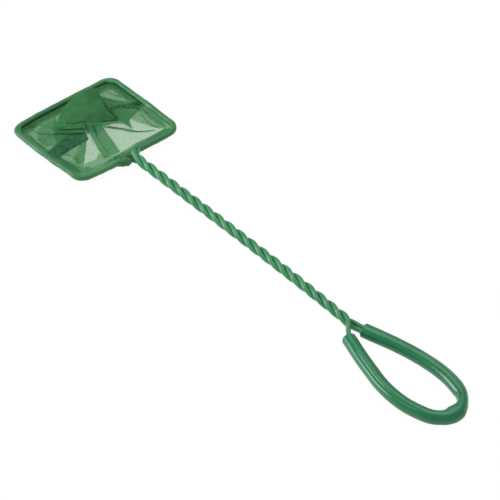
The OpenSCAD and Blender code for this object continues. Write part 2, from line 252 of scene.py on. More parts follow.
steel, tree = new_material("bright_steel")
shader = add_node(tree, "ShaderNodeBsdfPrincipled", {
    "Base Color": (0.55, 0.56, 0.58, 1), "Metallic": 1, "Roughness": mottle(tree, 900.0, 0.22, 0.42)})
add_node(tree, "ShaderNodeOutputMaterial", {"Surface": shader.outputs[0]})
wire_coat = plastic("wire_coat", (0.038, 0.255, 0.100), (0.056, 0.310, 0.128), 0.24, 500.0, 0.000002)
for node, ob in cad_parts.items():
    if node.endswith("_core"):
        ob.data.materials.clear()
        ob.data.materials.append(steel)
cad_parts["frame_wire_coat"].data.materials.clear()
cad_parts["frame_wire_coat"].data.materials.append(wire_coat)

# Twisted handle: three strands of the same coated wire, twisted right handed. The right and left
# ones run on from the frame, and the third comes back from the loop and is cut off at the joint.
twist_len = 186.0
handle_side, bow, bow_power = 0.6, 2.3, 4
lay = 28.85
circle_r = (wire_d + 0.1) / math.sqrt(3)
joint_angle = 300.0
bend_points = 26


def twist_point(x, turn):
    """Helix on a bowed line: y is the line's own, which falls with a power of the way along, plus the
    circle's radius times the cosine of the angle, and z the radius times its sine."""
    x = np.asarray(x, float)
    angle = np.radians(joint_angle + turn + 360 * x / lay)
    sideways = handle_side - bow * (x / twist_len) ** bow_power
    return np.stack([x, sideways + circle_r * np.cos(angle), wire_z + circle_r * np.sin(angle)], -1)


def twist_way(x, turn):
    """Direction of the helix at x, from two points a hundredth of a millimetre apart."""
    return unit(twist_point(x + 0.005, turn) - twist_point(x - 0.005, turn))


def bend(a, u, b, v, pull=1.0):
    """Hermite curve from a along u to b along v, without b itself. Its end slopes are as long as the
    chord, and the second one is that times pull."""
    t = np.linspace(0, 1, bend_points)[:-1, None]
    a, b = np.array(a, float), np.array(b, float)
    chord = np.linalg.norm(b - a)
    return ((2 * t**3 - 3 * t**2 + 1) * a + (t**3 - 2 * t**2 + t) * chord * unit(u)
            + (3 * t**2 - 2 * t**3) * b + (t**3 - t**2) * chord * pull * unit(v))


def heading(degrees, rise=0.0):
    """Flat direction at an angle from the handle's line, with an upward part."""
    return np.array([math.cos(math.radians(degrees)), math.sin(math.radians(degrees)), rise])


def twist(start, end, turn):
    """Places along the helix from start to end, half a millimetre apart."""
    return twist_point(np.arange(start, end, 0.5), turn)


lower_angle, upper_angle = 16.0, 15.8
mouth_x = twist_len + 9.0
mouth_shift = 3.86
mouth_y = handle_side - bow - mouth_shift
mouth_gap = 10.33
entry_off, settle_run = 1.09, 12
pair_offset = wire_d / 2 + 0.1
lower_mouth = np.array([mouth_x, mouth_y - mouth_gap / 2, wire_z])
upper_mouth = np.array([mouth_x, mouth_y + mouth_gap / 2, wire_z])
entry = lower_mouth + entry_off * heading(90 - lower_angle) + np.array([0, 0, entry_off])
entry_way = heading(-30, -0.12)
settle = lower_mouth + settle_run * heading(-lower_angle) + pair_offset * heading(90 - lower_angle)
right_join, left_join, tail_join = 0.173 * lay, 0.243 * lay, 0.173 * lay
right_part, upper_part = twist_len - 0.052 * lay, twist_len - 0.017 * lay
right_route = np.concatenate([
    bend([0, 7.5, wire_z], [0, -1, 0], twist_point(right_join, 0), twist_way(right_join, 0)),
    twist(right_join, right_part, 0),
    bend(twist_point(right_part, 0), twist_way(right_part, 0), entry, entry_way),
    bend(entry, entry_way, settle, heading(-lower_angle)),
    settle[None],
])
outer_mouth = upper_mouth + pair_offset * heading(90 + upper_angle)
left_route = np.concatenate([
    bend([0, -10, wire_z], [0, 1, 0], twist_point(left_join, -120), twist_way(left_join, -120), 1.3),
    twist(left_join, upper_part, -120),
    bend(twist_point(upper_part, -120), twist_way(upper_part, -120), outer_mouth, heading(upper_angle)),
    outer_mouth[None],
])
inner_mouth = upper_mouth - pair_offset * heading(90 + upper_angle)
tail_back = np.linspace(0.133 * lay, 0, 12)[:-1, None]
tail_route = np.concatenate([
    twist_point(tail_join, 120) - tail_back * twist_way(tail_join, 120) / twist_way(tail_join, 120)[0],
    twist(tail_join, upper_part, 120),
    bend(twist_point(upper_part, 120), twist_way(upper_part, 120), inner_mouth, heading(upper_angle)),
    inner_mouth[None],
])
strand_routes = {"right_strand": right_route, "left_strand": left_route, "tail_strand": tail_route}
for name, route in strand_routes.items():
    strand = tube(name, route, wire_d / 2, bore_d / 2, wire_coat, sides=28)
    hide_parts(name + "_coat")

# Loop: the wire goes round twice, side by side, inside a soft plastic tube pushed on as a grip. The
# tube is stretched over the pair, so it shows a groove between them, and it has buckled at the tip.
lower_run, lower_r, lower_turn = 35.6, 66.6, 31.5
upper_r, upper_turn = 112.0, 27.7
tip_turn = 180 + lower_angle + upper_angle - lower_turn - upper_turn
lower_end, upper_end = lower_turn - lower_angle, upper_angle - upper_turn


def flat_cross(a, b):
    """Upward part of the cross product of two flat vectors."""
    return a[0] * b[1] - a[1] * b[0]


lower_centre = lower_mouth + lower_run * heading(-lower_angle) + lower_r * heading(90 - lower_angle)
lower_tip = lower_centre - lower_r * heading(90 + lower_end)
upper_span = upper_r * (heading(90 + upper_end) - heading(90 + upper_angle))
closing = heading(upper_end) - heading(lower_end)
upper_reach = flat_cross(lower_tip - upper_mouth - upper_span, closing)
upper_run = upper_reach / flat_cross(heading(upper_angle), closing)
upper_tip = upper_mouth + upper_run * heading(upper_angle) + upper_span
tip_r = np.linalg.norm(upper_tip - lower_tip) / 2 / math.sin(math.radians(tip_turn / 2))
tip_centre = lower_tip + tip_r * heading(90 + lower_end)
upper_centre = upper_tip - upper_r * heading(90 + upper_end)


def arc(centre, radius, start, turn, count):
    """Points round a centre, from an angle and on by a turn, without the first."""
    angle = np.radians(start + turn * np.linspace(0, 1, count + 1)[1:, None])
    return centre + radius * np.concatenate([np.cos(angle), np.sin(angle), 0 * angle], 1)


def run_along(line):
    """Length run along a line at each of its points, from 0."""
    return np.concatenate([[0], np.cumsum(np.linalg.norm(np.diff(line, axis=0), axis=1))])


# Hand bending left the loop up to 0.6 mm off its even arcs: inwards where slack is over 0
slack_at = [0, 22, 34, 46, 62, 73, 80, 88, 94, 102, 108, 120, 130, 140, 154, 170, 188]
slack = [0, -0.32, -0.2, 0, -0.2, 0.2, -0.2, -0.2, 0, 0.35, 0, -0.6, -0.38, 0.1, 0.48, 0.3, 0]
smooth_over = np.hanning(11) / np.hanning(11).sum()


def loop_route(offset, start):
    """Straight, belly, tip, belly and straight, each touching the next, moved inwards by offset, and
    then sideways by the slack at the length run, smoothed over ten millimetres."""
    first = lower_mouth + offset * heading(90 - lower_angle)
    last = upper_mouth - offset * heading(90 + upper_angle)
    along = np.linspace(start, lower_run, 60)[:, None]
    back = np.linspace(upper_run, 0, 60)[1:, None]
    route = np.concatenate([
        first + along * heading(-lower_angle),
        arc(lower_centre, lower_r - offset, -90 - lower_angle, lower_turn, 60),
        arc(tip_centre, tip_r - offset, lower_end - 90, tip_turn, 120),
        arc(upper_centre, upper_r - offset, upper_end + 90, upper_turn, 90),
        last + back * heading(upper_angle),
    ])
    run_on = start + run_along(route)
    grid = np.arange(-8, 200.0)
    soft = np.convolve(np.interp(grid, slack_at, slack), smooth_over, "same")
    way = unit(np.gradient(route, axis=0))
    return route + np.interp(run_on, grid, soft)[:, None] * np.cross([0, 0, 1], way)


loop_routes = {"inner_loop": loop_route(pair_offset, 12), "outer_loop": loop_route(-pair_offset, 14)}
for name, route in loop_routes.items():
    turn_of_wire = tube(name, route, wire_d / 2, bore_d / 2, wire_coat, sides=24)
    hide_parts(name + "_coat")

sleeve_r, sleeve_bore, sleeve_sides = 4.0, 6.0, 96
mouth_in, upper_mouth_in = 0.9, 1.5
sleeve_route = loop_route(0, 0)
run = run_along(sleeve_route)[:, None]
covered = (run[:, 0] >= mouth_in) & (run[:, 0] <= run[-1, 0] - upper_mouth_in)
sleeve_route, run = sleeve_route[covered], run[covered]
round_by = np.degrees(round_angles(sleeve_sides))[None]


def hump(value, middle, width):
    """Bell curve: one at the middle, falling off over the width."""
    return np.exp(-((value - middle) / width) ** 2)


def apart(a, b):
    """Shortest way between two angles in degrees, from 0 to 180."""
    return np.abs((a - b + 180) % 360 - 180)


def rise(value, start, end):
    """Smooth step from 0 at start to 1 at end."""
    t = np.clip((value - start) / (end - start), 0, 1)
    return t * t * (3 - 2 * t)


total_run = run[-1, 0]
sleeve_route = sleeve_route + 0.35 * (1 - rise(run, 0, 16)) * heading(90 - lower_angle)
# The groove lies between the wires: it opens past the lower mouth, fades before the tip, comes back
# after the kink and fades towards the upper mouth. One ridge of it is there from the first.
groove_depth = (0.30 * rise(run, 6, 20) * (1 - rise(run, 60, 80))
                + 0.24 * rise(run, 101, 108) * (1 - rise(run, 128, 150)))
groove_at = 120 + 3 * np.sin(run / 19.0)
swell = 0.05 * hump(apart(round_by, groove_at - 30), 0, 18) * rise(run, 4, 14) * (1 - rise(run, 60, 84))
groove = groove_depth * hump(apart(round_by, groove_at), 0, 11)
under_fade = 1 - rise(run, total_run - 20, total_run - 6)
under = 0.35 * hump(apart(round_by, 270), 0, 18) * rise(run, 8, 22) * under_fade
# Buckle: the tube swells before the kink, most of all at its outer side, then it is pinched against
# the wires on both sides, and a crease runs over the top
kink_run = 99.4
facing = np.cos(np.radians(round_by))
inner_at = [74, 79, 84, 86, 88.5, 92, 96, 99.4, 104, 109]
inner_by = np.interp(run, inner_at, [0, -0.2, -0.44, 0.1, 0.85, 0.35, -0.7, -1.05, -0.6, 0])
outer_at = [77, 80, 84, 88, 92, 95, 99, 104, 109, 112]
outer_by = np.interp(run, outer_at, [0, 0, 0.7, 1.05, 0.85, -0.1, -0.95, -0.95, -0.4, 0])
mouth_flare = 0.35 * rise(run, total_run - 22, total_run - 4)
inner_push = (inner_by + 0.12 + mouth_flare) * np.clip(facing, 0, 1) ** 1.3
outer_push = (outer_by + 0.12 + mouth_flare / 2) * np.clip(-facing, 0, 1) ** 1.3
lateral = inner_push + outer_push
crease_at = kink_run + 3.4 * np.sin(np.radians(np.clip(round_by, 0, 180)))
crease_depth = 0.60 * hump(run, crease_at, 0.8) * hump(apart(round_by, 55), 0, 50)
lip = 0.28 * (1 - np.sqrt(np.clip(np.minimum(run - run[0], total_run - run) / 0.5, 0, 1)))
wander = 0.03 * np.sin(run / 7.1 + 1.3) * np.cos(np.radians(round_by) * 2 + run / 17)
sleeve_outer = sleeve_r - 0.1 + swell - groove - under + lateral - crease_depth - lip + wander
sleeve_outer = np.minimum(sleeve_outer, np.where(np.sin(np.radians(round_by)) < -0.5, sleeve_r, 9))
vinyl = plastic("sleeve_vinyl", (0.006, 0.190, 0.070), (0.010, 0.225, 0.088), 0.22, 120.0, 0.000001)
sleeve = tube("grip_sleeve_tube", sleeve_route, sleeve_outer, sleeve_bore / 2 - 0.02, vinyl,
              sleeve_sides)
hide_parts("grip_sleeve")

# Hem: a casing of close green cloth sewn round the frame wire. It is tight and slightly crumpled,
# most of all where the bag's side seams cross it, and its seam allowance points into the frame.
frame_width, frame_depth = 72.0, 61.4
hem_r, hem_shift = 1.68, 0.32
left_end, right_end = 10.0, 7.5
hem_step, corner_points, hem_sides = 0.5, 24, 40


def carry(start, way, steps):
    """A flat line of runs and corners: each step is a length to go, an angle to turn by and the
    corner's radius. Gives the points, a hem_step apart, and the flat direction to their right."""
    points, rights = [], []
    place = np.array(start, float)
    for length, turn, radius in steps:
        ahead = np.arange(0, length, hem_step)[:, None]
        points.append(place + ahead * heading(way)[:2])
        rights.append(np.repeat(heading(way - 90)[None, :2], len(ahead), 0))
        place = place + length * heading(way)[:2]
        if turn:
            side = np.sign(turn) * 90
            centre = place + radius * heading(way + side)[:2]
            angle = np.radians(way - side + np.linspace(0, turn, corner_points)[:-1])
            spoke = np.stack([np.cos(angle), np.sin(angle)], -1)
            points.append(centre + radius * spoke)
            rights.append(-spoke if turn < 0 else spoke)
            way += turn
            place = centre + radius * heading(way - side)[:2]
    points.append(place[None])
    rights.append(heading(way - 90)[None, :2])
    return np.concatenate(points), np.concatenate(rights)


half_w, half_d, side_x = frame_width / 2 + hem_shift, frame_depth / 2 + hem_shift, -frame_depth / 2
corner_r, far_right_r = 7.6, 6.4
near_left = carry((hem_shift, -left_end), -90, [
    (half_w - corner_r - left_end, -90, corner_r),
    (half_d - corner_r, 0, 0),
])
far_round = carry((side_x, -half_w), 180, [
    (half_d - corner_r, -90, corner_r),
    (2 * half_w - corner_r - far_right_r, -90, far_right_r),
    (half_d - far_right_r, 0, 0),
])
near_right = carry((side_x, half_w), 0, [
    (half_d - corner_r, -90, corner_r),
    (half_w - corner_r - right_end, 0, 0),
])


def drawn(line, stations, shifts):
    """The line pulled outwards by the shifts, which are given at distances along it, so that the hem
    stands off or hugs the wire by less than a millimetre as it does on a sewn net."""
    flat, right = line
    run_on = run_along(flat)
    return flat - right * np.interp(run_on, stations, shifts)[:, None], right


near_left = drawn(near_left, [0, 5, 12, 19, 26, 30, 34, 41, 46, 53],
                  [1.0, 1.05, 0.6, 0.0, 0.1, -0.35, -0.6, -0.2, 0.3, 0.1])
far_round = drawn(far_round, [0, 3, 7, 14, 23, 28, 33, 38, 44, 80, 85, 91, 96, 103, 122],
                  [0.1, 0.5, 0.6, 0.38, 0.2, 0.35, -0.5, -0.55, -0.12, -0.08, -0.4, -0.3, -0.5, -0.2, -0.08])
near_right = drawn(near_right, [0, 4, 9, 13, 17, 24, 30, 45, 52],
                   [0.0, 0.1, -0.1, -0.4, -0.42, -0.4, -0.1, 0.1, -0.2])


def waves(place, seed, longest, shortest, count=7):
    """Sum of plane waves with random ways and phases, between two wavelengths, about -1 to 1."""
    rng = np.random.default_rng(seed)
    length = np.geomspace(longest, shortest, count)
    way = rng.uniform(0, np.pi, count)
    phase = rng.uniform(0, 2 * np.pi, count)
    along = place[..., :1] * np.cos(way) + place[..., 1:2] * np.sin(way)
    return (np.sin(2 * np.pi * along / length + phase) * (length / longest) ** 0.5).sum(-1) / 2


sheen_green = (0.55, 0.85, 0.62, 1)


def cloth(name, dark, light, roughness, weave):
    """Close cloth: colour that drifts between dark and light, a woven bump from crossed waves on
    Object coordinates, and a little sheen. weave is the number of threads a metre."""
    material = plastic(name, dark, light, roughness, 2600.0, 0.00006)
    tree = material.node_tree
    fine = next(n for n in tree.nodes if n.type == "BUMP")
    place = add_node(tree, "ShaderNodeTexCoord").outputs["Object"]
    threads = add_node(tree, "ShaderNodeTexWave", {
        "Vector": place, "Scale": weave, "Distortion": 3.0, "Detail": 1.0})
    threads.wave_type = "BANDS"
    threads.bands_direction = "DIAGONAL"
    ridge = add_node(tree, "ShaderNodeBump", {
        "Strength": 0.5, "Distance": 0.00009, "Height": threads.outputs["Fac"],
        "Normal": fine.outputs["Normal"]})
    feed(tree, next(n for n in tree.nodes if n.type == "BSDF_PRINCIPLED"), {
        "Normal": ridge.outputs["Normal"], "Sheen Weight": 0.04, "Sheen Roughness": 0.45,
        "Sheen Tint": sheen_green, "Specular IOR Level": 0.36})
    return material


hem_cloth = cloth("hem_cloth", (0.030, 0.175, 0.058), (0.062, 0.262, 0.096), 0.38, 420.0)
# A darker copy of the hem cloth paints the shade in the bunched cloth at the joint.
shaded_hem_cloth = cloth("shaded_hem_cloth", (0.022, 0.115, 0.045), (0.062, 0.225, 0.092), 0.60, 520.0)


def casing(name, line, crumple_at, seed):
    """Hem tube: a circle of the hem's radius, swollen and pinched by short waves near the points in
    crumple_at, with a small keel on the inner side where the seam allowance starts."""
    flat, right = line
    route = np.concatenate([flat, np.full((len(flat), 1), wire_z)], 1)
    angle = round_angles(hem_sides)[None]
    run_on = run_along(flat)[:, None]
    near = sum(hump(np.linalg.norm(flat - np.array(c), axis=1)[:, None], 0, 3.2) for c in crumple_at)
    place = np.stack(np.broadcast_arrays(run_on, hem_r * angle * 0.8), -1)
    fine = waves(place, seed, 9.0, 1.3)
    tight = np.sin(2 * np.pi * run_on / 1.7 + 1.2 * np.sin(angle * 2) + seed)
    radius = hem_r - 0.04 + 0.05 * fine + near * (0.14 * tight + 0.06)
    radius = radius + 0.22 * hump(apart(np.degrees(angle), 200), 0, 14)
    return tube(name, route, radius, 1.25, hem_cloth, hem_sides)


far_casing = casing("far_hem_casing", far_round, [(side_x, -half_w), (side_x, half_w)], 3)
left_casing = casing("near_left_hem_casing", near_left, [(side_x, -half_w)], 5)
right_casing = casing("near_right_hem_casing", near_right, [(side_x, half_w)], 8)
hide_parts("far_hem")
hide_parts("near_left_hem")
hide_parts("near_right_hem")


# Bag: two panels of soft green knitted mesh, sewn to the hem and to each other at the sides. It lies
# collapsed inside the frame, so each panel runs down from the hem, over the floor and into folds.
# The mesh has small holes in a honeycomb, and every layer more makes it darker.
def mesh_material(name, thread, glow_through, hole_edge, marks, drift,
                  hole_tint=(0.89, 0.98, 0.90), knit_pitch=1.0):
    """Knitted mesh from three cosines at 60 degrees on the cloth's own map in millimetres: a hole
    where their sum is over hole_edge, softened by hole_blur to both sides. Threads are part matt and
    part translucent, darker towards the holes, and drift in colour by a share, so many marks a metre."""
    material, tree = new_material(name)
    hole_blur = 0.95
    place = add_node(tree, "ShaderNodeUVMap")
    place.uv_map = "cloth"
    total = None
    for way in (0, 60, 120):
        steps = tuple(2 * math.pi / knit_pitch * heading(way))
        across = add_node(tree, "ShaderNodeVectorMath", {0: place.outputs["UV"], 1: steps}, "DOT_PRODUCT")
        wave = add_node(tree, "ShaderNodeMath", {0: across.outputs["Value"]}, "COSINE").outputs[0]
        if total is None:
            total = wave
        else:
            total = add_node(tree, "ShaderNodeMath", {0: total, 1: wave}, "ADD").outputs[0]
    hole = add_node(tree, "ShaderNodeMapRange", {
        "Value": total, "From Min": hole_edge - hole_blur, "From Max": hole_edge + hole_blur,
        "To Min": 0.20, "To Max": 0.76})
    hole.interpolation_type = "SMOOTHSTEP"
    darker = add_node(tree, "ShaderNodeMapRange", {
        "Value": total, "From Min": -1.2, "From Max": 1.2, "To Min": 1.12, "To Max": 0.78})
    tones = [[c * (1 + part) for c in thread] for part in (-drift, drift)]
    shaded = add_node(tree, "ShaderNodeVectorMath", {
        0: two_tone(tree, *tones, marks), "Scale": darker.outputs["Result"]}, "SCALE")
    knot = add_node(tree, "ShaderNodeBump", {"Strength": 0.4, "Distance": 0.00008, "Height": total})
    knot.invert = True
    matt = add_node(tree, "ShaderNodeBsdfPrincipled", {
        "Base Color": shaded.outputs["Vector"], "Roughness": mottle(tree, 500.0, 0.45, 0.65),
        "Normal": knot.outputs["Normal"], "Sheen Weight": 0.06, "Sheen Tint": sheen_green,
        "Specular IOR Level": 0.2})
    lit = add_node(tree, "ShaderNodeBsdfTranslucent", {"Color": (*glow_through, 1)})
    yarn = add_node(tree, "ShaderNodeAddShader", {0: matt.outputs[0], 1: lit.outputs[0]})
    open_air = add_node(tree, "ShaderNodeBsdfTransparent", {"Color": (*hole_tint, 1)})
    whole = add_node(tree, "ShaderNodeMixShader", {
        "Fac": hole.outputs["Result"], 1: yarn.outputs[0], 2: open_air.outputs[0]})
    add_node(tree, "ShaderNodeOutputMaterial", {"Surface": whole.outputs[0]})
    return material


net_mesh = mesh_material("net_mesh", (0.038, 0.168, 0.064), (0.11, 0.25, 0.12), 0.45, 160.0, 0.2)
seam_mesh = mesh_material("seam_mesh", (0.036, 0.175, 0.080), (0.03, 0.10, 0.05), 0.35, 800.0, 0.6,
                          (0.18, 0.42, 0.28), 1.1)
# The third mesh is a darker, denser copy that paints shade: it is laid where folds, pockets and the casing's
# underside are in shade.
painted_shade_mesh = mesh_material("painted_shade_mesh", (0.011, 0.084, 0.030), (0.02, 0.06, 0.03), 0.9, 300.0, 0.3)


def curve(points, count):
    """Smooth line through points, by a cubic between each two whose slopes follow their neighbours."""
    p = np.array(points, float)
    p = np.concatenate([2 * p[:1] - p[1:2], p, 2 * p[-1:] - p[-2:-1]])
    t = np.linspace(0, len(p) - 3, count)
    i = np.minimum(t.astype(int), len(p) - 4)
    f = (t - i)[:, None]
    a, b, c, d = p[i], p[i + 1], p[i + 2], p[i + 3]
    return 0.5 * (2 * b + (c - a) * f + (2 * a - 5 * b + 4 * c - d) * f**2 + (3 * b - a - 3 * c + d) * f**3)


def spread(back, edge, rows, left=None, right=None):
    """Sheet between four curves, rows by columns: a blend from back to edge, corrected so that its
    first and last columns follow left and right where they are given."""
    t = np.linspace(0, 1, rows)[:, None, None]
    s = np.linspace(0, 1, len(back))[None, :, None]
    sheet = back[None] * (1 - t) + edge[None] * t
    if left is None:
        return sheet
    start, end = sheet[:, :1], sheet[:, -1:]
    return sheet + (1 - s) * (curve(left, rows)[:, None] - start) + s * (curve(right, rows)[:, None] - end)


def rippled(sheet, seed, height, longest, shortest):
    """The sheet with waves added to its height, less over the border share at each side."""
    border = 0.12
    rows, columns = sheet.shape[:2]
    t = np.linspace(0, 1, rows)[:, None]
    s = np.linspace(0, 1, columns)[None]
    inside = rise(np.minimum(np.minimum(t, 1 - t), np.minimum(s, 1 - s)), 0, border)
    lifted = sheet.copy()
    lifted[..., 2] += height * inside * waves(sheet, seed, longest, shortest)
    return lifted


def layer(back, edge, columns, rows, seed, height, longest, shortest):
    """A loose layer of mesh: the sheet between two smooth lines, with waves in it."""
    sheet = spread(curve(back, columns), curve(edge, columns), rows)
    return rippled(sheet, seed, height, longest, shortest)


def raised(points, by):
    """The points moved up."""
    return points + np.array([0, 0, by])


def hairpin(sheet, gap):
    """The sheet doubled over at its last row: out along the top, round the edge in five rows on half
    the gap, and all the way back underneath."""
    out = sheet[-1] - sheet[-3]
    out[:, 2] = 0
    out = unit(out)
    angle = np.linspace(np.pi / 2, -np.pi / 2, 7)[1:-1, None, None]
    up = np.array([0, 0, 1.0])
    edge = sheet[-1] + gap / 2 * (np.cos(angle) * out + np.sin(angle) * up)
    return np.concatenate([sheet + gap / 2 * up, edge, sheet[::-1] - gap / 2 * up])


def flattened(left, right, gap, columns=16):
    """Cloth tube pressed flat between two edge curves: across the top, round, and back below."""
    s = (1 - np.cos(np.linspace(0, np.pi, columns)))[None, :, None] / 2
    middle = left[:, None] * (1 - s) + right[:, None] * s
    swell = gap / 2 * np.sqrt(np.clip(1 - (2 * s - 1) ** 6, 0, 1))
    up = np.array([0, 0, 1.0])
    return np.concatenate([middle + swell * up, (middle - swell * up)[:, -2:0:-1]], 1)


def crease(points, width, gap):
    """Pinched fold: a flattened tube of a small width along a line, tapering to nothing at both ends."""
    middle = curve(points, 60)
    way = unit(np.gradient(middle, axis=0))
    side = np.stack([-way[:, 1], way[:, 0], 0 * way[:, 0]], 1)
    taper = np.sqrt(np.sin(np.linspace(0.05, np.pi - 0.05, 60)))[:, None] * width / 2
    return flattened(middle + side * taper, middle - side * taper, gap, 8)


def mesh_cloth(name, parts, material):
    """One mesh of several sheets. Each part is a grid, whether its columns close into a ring, and
    the angle at which the knit lies on it. The map is the plan in millimetres, turned by the angle,
    and each sheet's is shifted a little from the last one's so that their holes don't line up."""
    faces, maps, first = [], [], 0
    for k, (grid, ring, angle) in enumerate(parts):
        rows, columns = grid.shape[:2]
        index = first + np.arange(rows * columns).reshape(rows, columns)
        if ring:
            index = np.concatenate([index, index[:, :1]], 1)
        quads = np.stack([index[:-1, :-1], index[:-1, 1:], index[1:, 1:], index[1:, :-1]], -1)
        faces.append(quads.reshape(-1, 4))
        x, y, z = grid.reshape(-1, 3).T
        cos, sin = math.cos(math.radians(angle)), math.sin(math.radians(angle))
        maps.append(np.stack([x * cos - y * sin + 0.31 * k, x * sin + y * cos + z * 0.6 + 0.17 * k], -1))
        first += rows * columns
    places = np.concatenate([grid.reshape(-1, 3) for grid, ring, angle in parts])
    mesh = placed_mesh(name, places, np.concatenate(faces).tolist(), closed=False)
    layer_map = mesh.uv_layers.new(name="cloth")
    corner = np.zeros(len(mesh.loops), np.int32)
    mesh.loops.foreach_get("vertex_index", corner)
    layer_map.data.foreach_set("uv", np.concatenate(maps)[corner].ravel())
    return add_piece(name, mesh, material)


# Tray: from the hem tube the mesh runs level under the flange, dips and fans out over the floor to
# the line where the two panels meet. The flange is a second, upper layer as wide as the allowance.
flange_width = 3.7
tray_z = 0.55
meeting = curve([
    (-29, -33.5, 0), (-28, -20, 0), (-28, -6, 0), (-31, 8, 0), (-37, 19, 0), (-34, 28, 0),
    (-30.7, 33.5, 0)], 200)


def tray(line, target, seed, rim_z, steep):
    """Panel from the rim line to the target line: the height falls from the rim to the floor by a
    smooth step, at once under the rim where steep is one, and gathers run across the rim, fading
    towards the middle."""
    flat, right = line
    count = len(flat)
    t = np.linspace(0, 1, 46)[:, None, None]
    rim = (flat + right * 1.5)[None]
    inner = (flat + right * (hem_r + flange_width))[None]
    target = target[None, :, :2]
    plan = np.where(t < 0.16, rim + (inner - rim) * t / 0.16, inner + (target - inner) * (t - 0.16) / 0.84)
    place = np.concatenate([plan, np.zeros((*plan.shape[:2], 1))], 2)
    t = t[..., 0]
    gentle = rim_z - 0.4 * rise(t, 0, 0.16) - (rim_z - 0.4 - tray_z) * rise(t, 0.15, 0.42)
    hanging = rim_z - (rim_z - 0.9) * rise(t, 0.02, 0.13) - (0.9 - tray_z) * rise(t, 0.15, 0.42)
    fall = steep * hanging + (1 - steep) * gentle
    run_on = np.arange(count)[None] * hem_step
    gather_phase = 2 * np.pi * run_on / 6.3 + 1.4 * np.sin(run_on / 11) + seed
    gathers = np.sin(gather_phase) * hump(t, 0.27, 0.12) * 0.28
    floor_waves = waves(place, seed + 20, 16, 3.5) * 0.30 * rise(t, 0.35, 0.6)
    place[..., 2] = np.maximum(fall + gathers + floor_waves + 0.1, 0.12)
    return place


def flange(line, seed, start_z, end_z, width=flange_width):
    """Seam allowance: a strip from the tube inwards by the width, with a wavy free edge."""
    flat, right = line
    t = np.linspace(0, 1, 8)[:, None]
    run_on = np.arange(len(flat))[None] * hem_step
    reach = 1.4 + t * (width + 0.28 + 0.25 * np.sin(run_on / 3.1 + seed)
                       + 0.2 * np.sin(run_on / 7.7 + 2 * seed))
    plan = flat[None] + right[None] * reach[..., None]
    height = start_z + (end_z - start_z) * t + 0.12 * np.sin(run_on / 2.3 + seed) * t
    return np.concatenate([plan, height[..., None]], 2)


# The near panel's rim runs from one seam to the other, past the gap in the hem at the handle
gap_points = 33
gap_flat = np.linspace((0.3, -left_end + 0.5), (hem_shift, right_end - 0.5), gap_points)
near_flat = np.concatenate([near_left[0][::-1], gap_flat, near_right[0][::-1]])
gap_rights = np.repeat([[-1.0, 0]], gap_points, 0)
near_rights = np.concatenate([near_left[1][::-1], gap_rights, near_right[1][::-1]])
near_round = (near_flat, near_rights)
far_target = meeting[np.linspace(0, 199, len(far_round[0])).astype(int)]
near_target = meeting[np.linspace(0, 199, len(near_flat)).astype(int)]

right_upper = layer(
    [(-58.5, 23, 5.0), (-58.5, 32, 3.4), (-52, 34, 3.2), (-42, 34, 3.2), (-33, 34, 3.2)],
    [(-54, 20.5, 4.6), (-50, 19, 3.6), (-44.5, 17.5, 3.0), (-40, 22.5, 2.6), (-36, 29.5, 2.8)],
    60, 26, 31, 0.40, 9, 2.5)
right_inner = layer(
    [(-54.5, 20.5, 4.2), (-50.5, 22.0, 3.4), (-46.5, 25.2, 2.9), (-42.5, 27.6, 2.7), (-37.5, 30.0, 2.7)],
    [(-53.5, 19.0, 4.0), (-47.5, 17.5, 3.0), (-42, 16.0, 2.6), (-39, 19.0, 2.5), (-36, 28.5, 2.6)],
    50, 20, 37, 0.25, 7, 2.0)
left_under = layer(
    [(-58, -1, 3.2), (-55, -5, 2.8), (-51, -8.5, 2.8), (-45, -13, 2.6), (-40, -14, 2.4), (-34, -10, 2.2)],
    [
        (-58, -24, 3.0), (-56, -31, 2.8), (-50, -33.2, 2.8), (-43, -33.5, 3.0), (-37, -33.5, 3.0),
        (-33, -30, 2.6)],
    60, 30, 41, 0.5, 9, 2.2)
left_third = layer(
    [(-55, -10, 3.4), (-50, -13, 3.3), (-46, -17, 3.1), (-42, -20, 2.8), (-37, -15, 2.6)],
    [(-53, -24, 3.2), (-47, -30, 3.0), (-42, -31, 3.0), (-37, -30, 2.8), (-36, -24, 2.7)],
    50, 24, 47, 0.5, 8, 2.0)
far_parts = [
    (tray(far_round, far_target, 2, wire_z - 1.2, 1), False, 12),
    (flange(far_round, 4, wire_z - 1.0, 1.3, 3.0), False, 64),
    (flange((far_round[0][:82], far_round[1][:82]), 69, wire_z - 1.2, 1.1, 4.6), False, 50),
    (flange(far_round, 14, wire_z - 1.4, 0.9, 2.6), False, 24),
    (right_upper, False, 37),
    (right_inner, False, 57),
    (raised(right_inner, -0.5), False, 17),
    (left_under, False, 78),
    (left_third, False, 25),
    (crease([(-54, -28, 3.2), (-48, -26, 3.4), (-44, -22, 3.4), (-41, -20, 3.2)], 0.5, 0.5), True, 40),
    (crease([(-56, -22, 3.2), (-52, -20, 3.4), (-47, -18, 3.4)], 0.4, 0.5), True, 70),
    (crease([(-57, 27, 3.4), (-50, 27.5, 3.2), (-43, 31, 3.2)], 0.4, 0.5), True, 20),
    (crease([(-52, 22, 4.0), (-47, 23, 3.0), (-42, 27, 3.0), (-37, 31, 3.0)], 0.4, 0.5), True, 50),
]
far_panel = mesh_cloth("far_panel_mesh", far_parts, net_mesh)
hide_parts("far_bag_panel")
